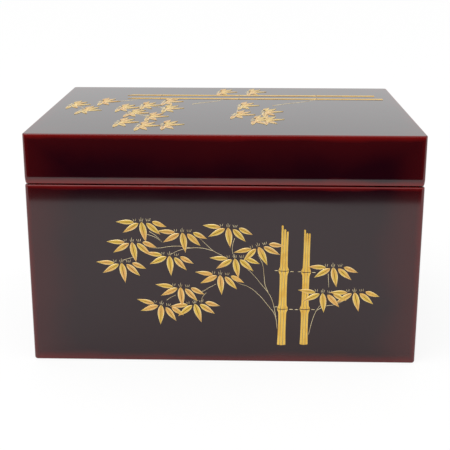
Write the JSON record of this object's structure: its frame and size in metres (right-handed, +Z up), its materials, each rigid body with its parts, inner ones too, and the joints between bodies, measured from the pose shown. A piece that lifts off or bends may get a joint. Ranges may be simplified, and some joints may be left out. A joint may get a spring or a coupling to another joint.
{
  "type": "tea ceremony box",
  "caption": "Rectangular lacquered wooden box with a lift-off lid over a raised inner rim, a hanging tray inside, and gold bamboo on the front and the lid.",
  "frame": {"origin": "middle of the underside, on the surface that the box stands on", "axes": "+Z up, +X along the length towards the right of the decorated front, which faces -Y"},
  "size_m": [0.215, 0.1554, 0.1311],
  "materials": {
    "lacquer_outside": "polished transparent red-brown lacquer over a dark ground",
    "lacquer_inside": "polished black lacquer",
    "bare_wood": "bare wood, hidden under the lacquer",
    "gold": "gold powder sprinkled on raised lacquer, burnished"
  },
  "bodies": {
    "box": {"front_board": "lacquer_outside", "back_board": "lacquer_outside", "left_board": "lacquer_outside", "right_board": "lacquer_outside", "base_board": "lacquer_outside", "base_pegs": "bare_wood", "corner_keys": "bare_wood", "rim_front": "lacquer_inside", "rim_back": "lacquer_inside", "rim_left": "lacquer_inside", "rim_right": "lacquer_inside", "front_culms": "gold", "front_leaves": "gold"},
    "tray": {"tray_front": "lacquer_inside", "tray_back": "lacquer_inside", "tray_left": "lacquer_inside", "tray_right": "lacquer_inside", "tray_bottom": "lacquer_inside", "tray_lip_front": "lacquer_inside", "tray_lip_back": "lacquer_inside", "tray_lip_left": "lacquer_inside", "tray_lip_right": "lacquer_inside"},
    "lid": {"lid_top": "lacquer_outside", "lid_front_board": "lacquer_outside", "lid_back_board": "lacquer_outside", "lid_left_board": "lacquer_outside", "lid_right_board": "lacquer_outside", "lid_corner_keys": "bare_wood", "lid_culms": "gold", "lid_leaves": "gold"}
  },
  "joints": [
    {"name": "tray_lift", "type": "slide", "parent": "box", "child": "tray", "axis": [0, 0, 1], "range_m": [0, 0.05]},
    {"name": "lid_lift", "type": "slide", "parent": "tray", "child": "lid", "axis": [0, 0, 1], "range_m": [0, 0.06]}
  ]
}
